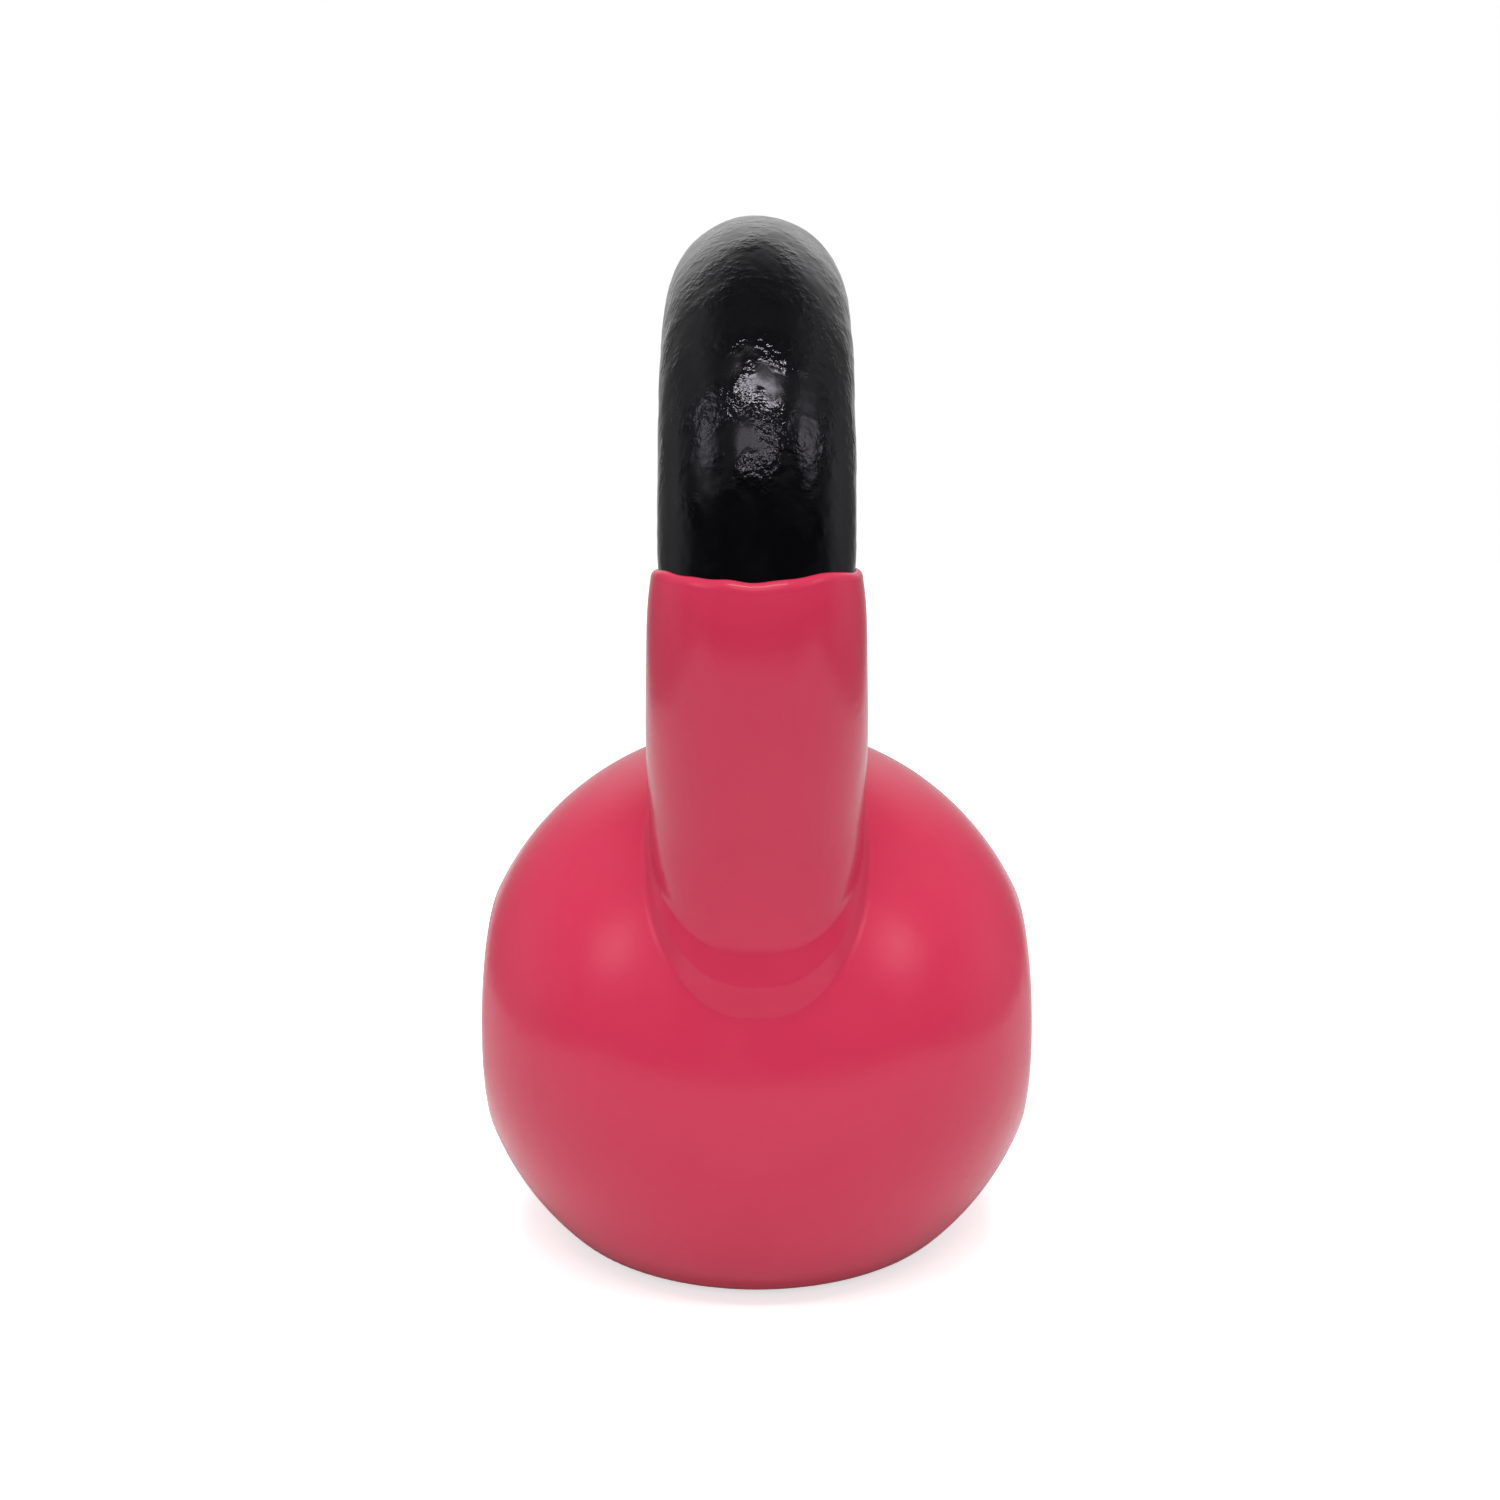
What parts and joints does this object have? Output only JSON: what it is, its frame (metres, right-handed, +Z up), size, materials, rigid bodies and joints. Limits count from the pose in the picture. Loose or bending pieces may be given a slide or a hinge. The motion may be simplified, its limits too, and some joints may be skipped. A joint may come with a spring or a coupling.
{
  "type": "kettlebell",
  "caption": "Small solid cast-iron kettlebell: a round bell with a flat foot and side flats under a black horseshoe handle, dipped to the lower horns in glossy pink-red vinyl",
  "frame": {"origin": "middle of the flat foot, on the floor plane", "axes": "+Z up through the bell and the top of the handle, X along the handle bar from horn to horn, Y through the two side flats of the bell"},
  "size_m": [0.1166, 0.0906, 0.1694],
  "materials": {
    "enamelled_iron": "black baked enamel over the as-cast grain of the iron, semi-gloss with an orange-peel surface",
    "vinyl": "smooth glossy dipped vinyl in pink-red, soft wavy lips at the dip line"
  },
  "bodies": {
    "root": {"iron_casting": "enamelled_iron", "vinyl_jacket": "vinyl"}
  },
  "joints": []
}
